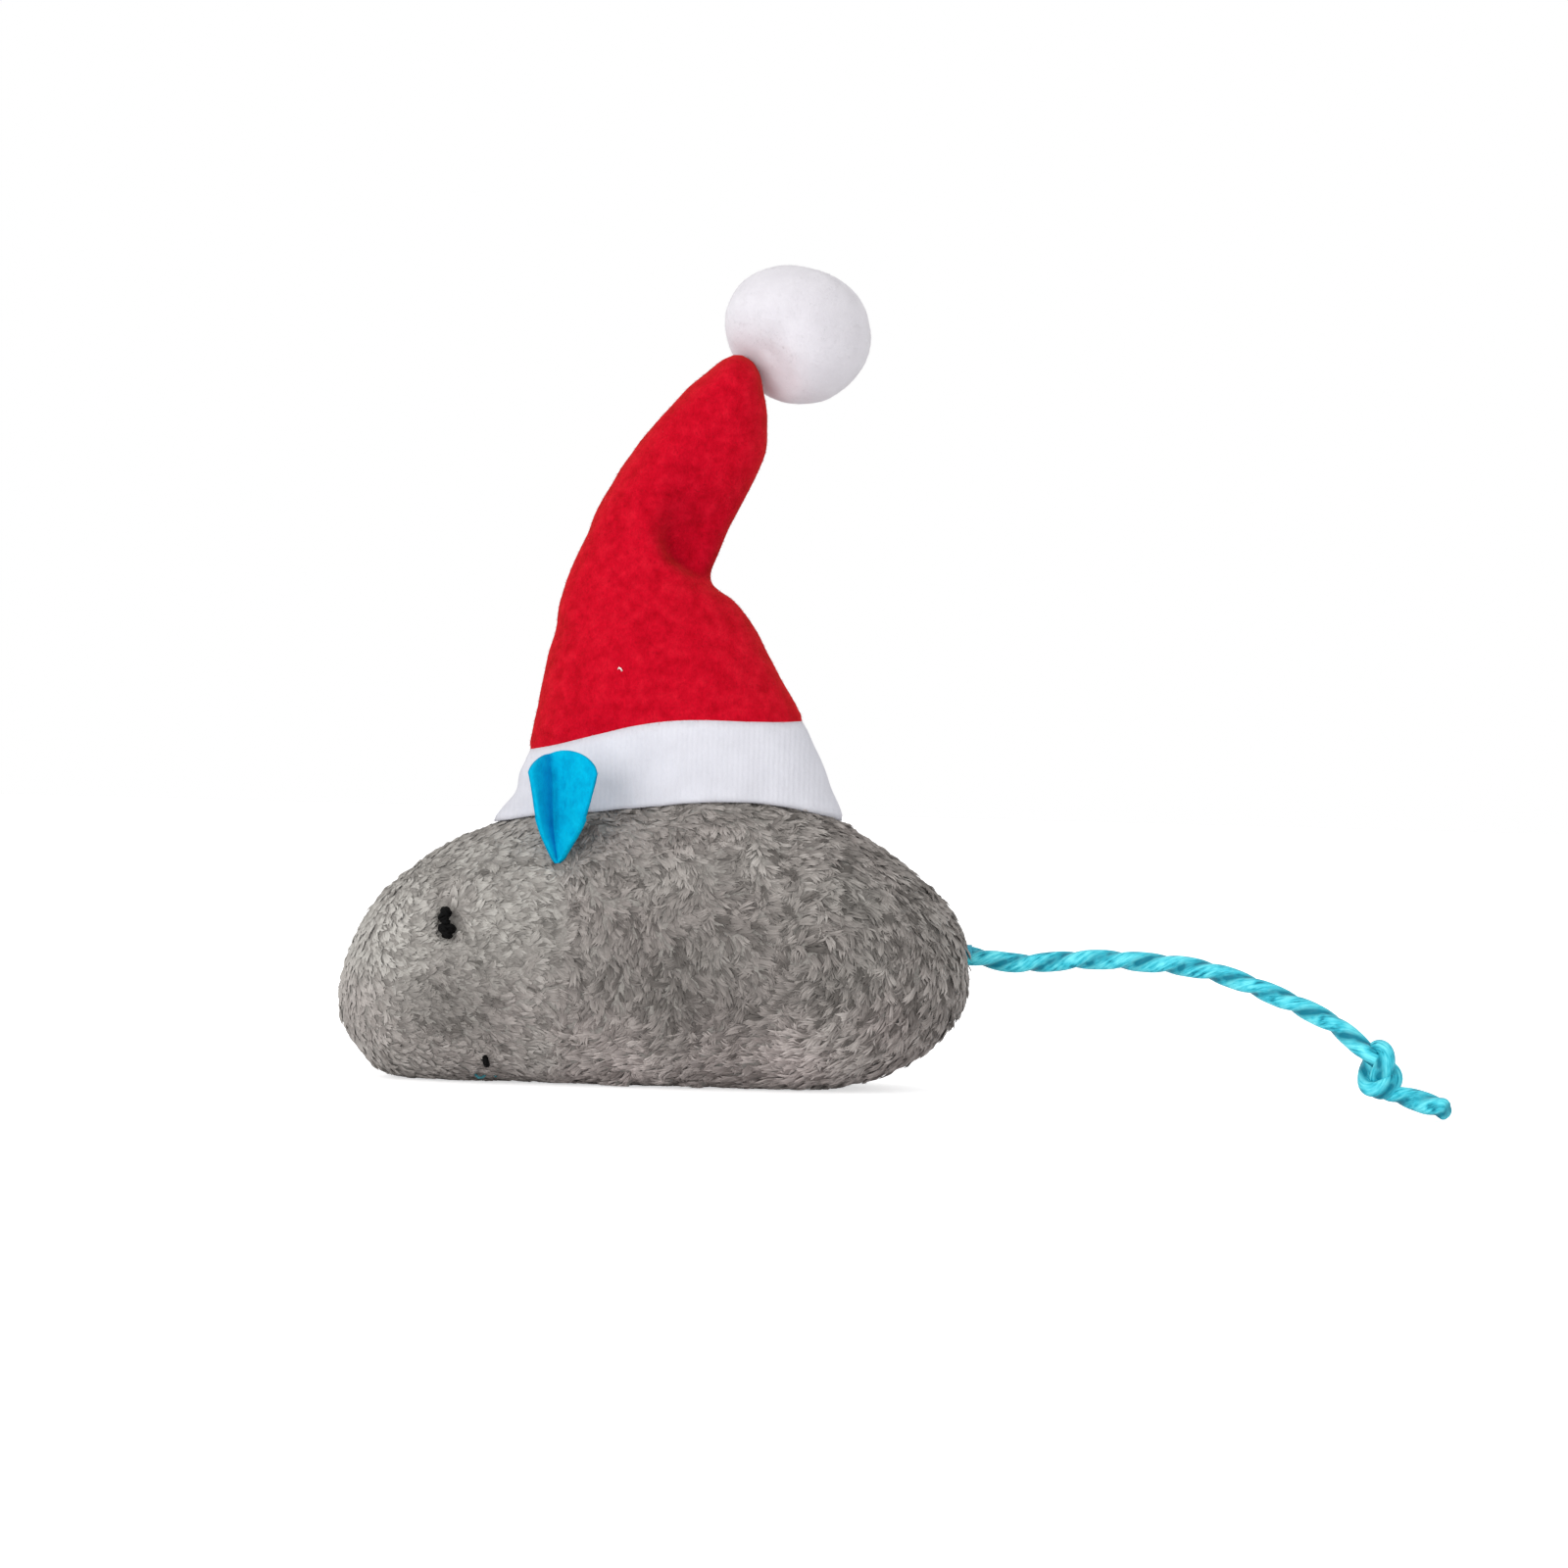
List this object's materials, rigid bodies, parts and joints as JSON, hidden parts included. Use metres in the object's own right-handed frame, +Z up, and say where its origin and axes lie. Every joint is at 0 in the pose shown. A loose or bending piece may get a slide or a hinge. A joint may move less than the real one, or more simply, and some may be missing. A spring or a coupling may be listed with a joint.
{
  "type": "plush mouse toy",
  "caption": "Stuffed plush mouse pet toy with felt ears, stitched eyes, a felt holiday hat with fleece brim and pompom, and a knotted cord tail.",
  "frame": {"origin": "centre of the flat belly panel, on the surface that the toy stands on, halfway along the body", "axes": "+Z up, -X toward the nose, +X toward the tail, -Y the mouse's left side, which faces the picture's camera"},
  "size_m": [0.1711, 0.0639, 0.1303],
  "materials": {
    "grey_plush": "short pile plush, warm grey, brushed in swirls",
    "white_fibre": "loose polyester fibre filling",
    "muslin": "plain cotton bag",
    "black_thread": "matte embroidery thread",
    "blue_felt": "craft felt, cyan blue",
    "red_felt": "brushed felt, bright red",
    "white_fleece": "brushed fleece, cool white",
    "turquoise_cord": "two-ply twisted cord, slightly glossy"
  },
  "bodies": {
    "root": {"side_panel_left": "grey_plush", "side_panel_right": "grey_plush", "belly_panel": "grey_plush", "stuffing": "white_fibre", "catnip_pouch": "muslin", "tail_anchor": "turquoise_cord", "eye_thread": "black_thread", "eye_left": "black_thread", "eye_right": "black_thread", "hat_brim": "white_fleece", "hat_cone": "red_felt", "tail_cord": "turquoise_cord", "tail_knot": "turquoise_cord", "tail_stub": "turquoise_cord"},
    "hat_tip": {"hat_tip": "red_felt", "pompom_cover": "white_fleece", "pompom_filling": "white_fibre"},
    "left_ear": {"ear_left": "blue_felt"},
    "right_ear": {"ear_right": "blue_felt"}
  },
  "joints": [
    {"name": "hat_tip_fold", "type": "hinge", "parent": "root", "child": "hat_tip", "pos_m": [0.00762, 0, 0.07957], "axis": [0, 1, 0], "range_deg": [0, 60], "stiffness_Nm_per_rad": 0.0015, "springref_deg": -20.05},
    {"name": "ear_left_flap", "type": "hinge", "parent": "root", "child": "left_ear", "pos_m": [-0.0145, -0.01776, 0.0354], "axis": [1, 0, 0], "range_deg": [0, 60], "stiffness_Nm_per_rad": 0.0002, "springref_deg": -17.19},
    {"name": "ear_right_flap", "type": "hinge", "parent": "root", "child": "right_ear", "pos_m": [-0.0145, 0.01776, 0.0354], "axis": [-1, 0, 0], "range_deg": [0, 60], "stiffness_Nm_per_rad": 0.0002, "springref_deg": -17.19}
  ]
}
